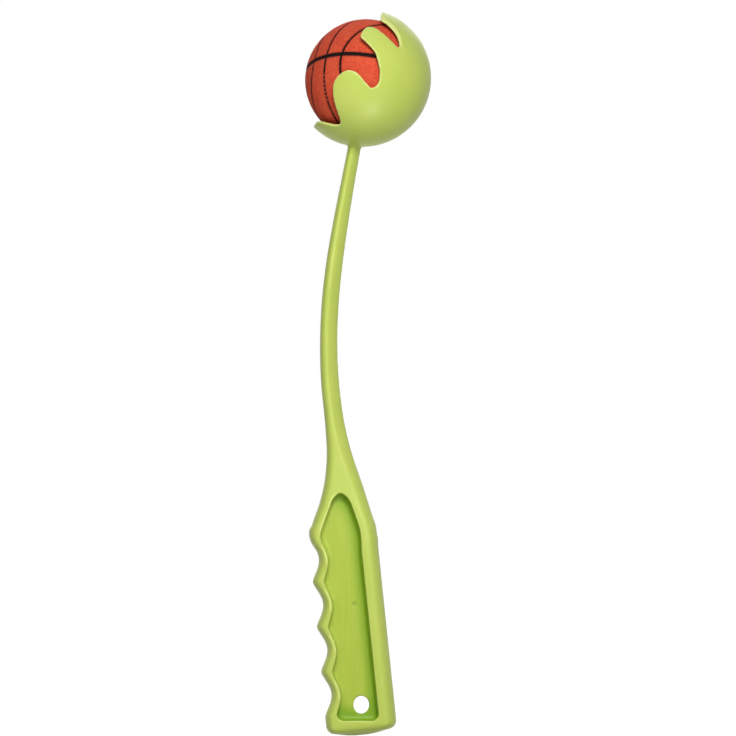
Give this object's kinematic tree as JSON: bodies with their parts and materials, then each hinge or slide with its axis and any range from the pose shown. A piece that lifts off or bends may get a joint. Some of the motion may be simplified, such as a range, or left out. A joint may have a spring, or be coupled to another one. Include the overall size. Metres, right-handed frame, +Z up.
{
  "type": "dog ball thrower",
  "caption": "One-piece moulded throwing arm with a finger-grooved, pocketed grip and a fingered cup that carries a seamed fetch ball.",
  "frame": {"origin": "middle of the finger-grooved grip, on the moulding's mid-plane", "axes": "+Z up from the grip to the cup, +X from the finger grooves to the palm side of the grip, +Y away from the viewer of the picture, square to the mould's mid-plane"},
  "size_m": [0.0666, 0.0731, 0.3829],
  "materials": {
    "green_plastic": "satin lime-green moulded plastic, lightly marked",
    "core_rubber": "matt black rubber",
    "ball_cover": "red-orange close-napped cover, fine grain"
  },
  "bodies": {
    "thrower_body": {"thrower": "green_plastic"},
    "ball": {"ball_core_upper": "core_rubber", "ball_core_lower": "core_rubber", "cover_band_right_upper": "ball_cover", "cover_oval_right_upper": "ball_cover", "cover_band_left_upper": "ball_cover", "cover_oval_left_upper": "ball_cover", "cover_band_right_lower": "ball_cover", "cover_oval_right_lower": "ball_cover", "cover_band_left_lower": "ball_cover", "cover_oval_left_lower": "ball_cover"}
  },
  "joints": [
    {"name": "ball_release", "type": "slide", "parent": "thrower_body", "child": "ball", "axis": [-0.866, 0, 0.5], "range_m": [0, 0.06]}
  ]
}
